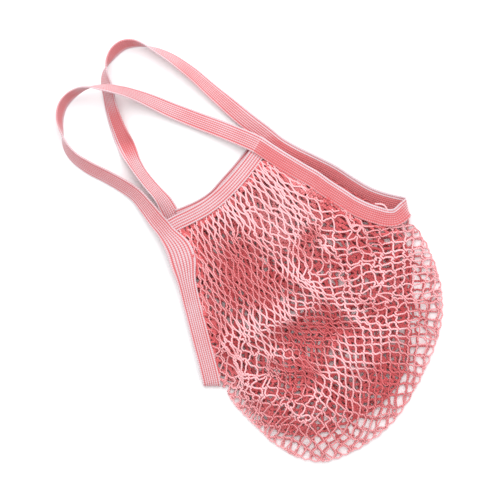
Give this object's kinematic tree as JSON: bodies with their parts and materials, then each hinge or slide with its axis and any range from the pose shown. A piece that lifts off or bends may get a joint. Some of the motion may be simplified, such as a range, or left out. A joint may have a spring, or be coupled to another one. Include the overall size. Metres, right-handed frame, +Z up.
{
  "type": "string shopping bag",
  "caption": "Knotted cotton net shopping bag lying flat, its side openings bound by a ribbed tape that rises above the net as a pair of hand loops.",
  "frame": {"origin": "centre of the bounding box, on the surface the bag lies on", "axes": "+Y from the net's bottom towards the hand loops, +Z up from the surface through the bag's thickness, +X to the right seen from above"},
  "size_m": [0.3448, 0.5834, 0.0429],
  "materials": {
    "net_cotton": "matt soft cotton thread, pink",
    "tape_cotton": "matt ribbed knitted cotton tape, light pink"
  },
  "bodies": {
    "root": {"net_sack": "net_cotton", "handle_tape": "tape_cotton", "front_neck_tape": "tape_cotton", "back_neck_tape": "tape_cotton"}
  },
  "joints": []
}
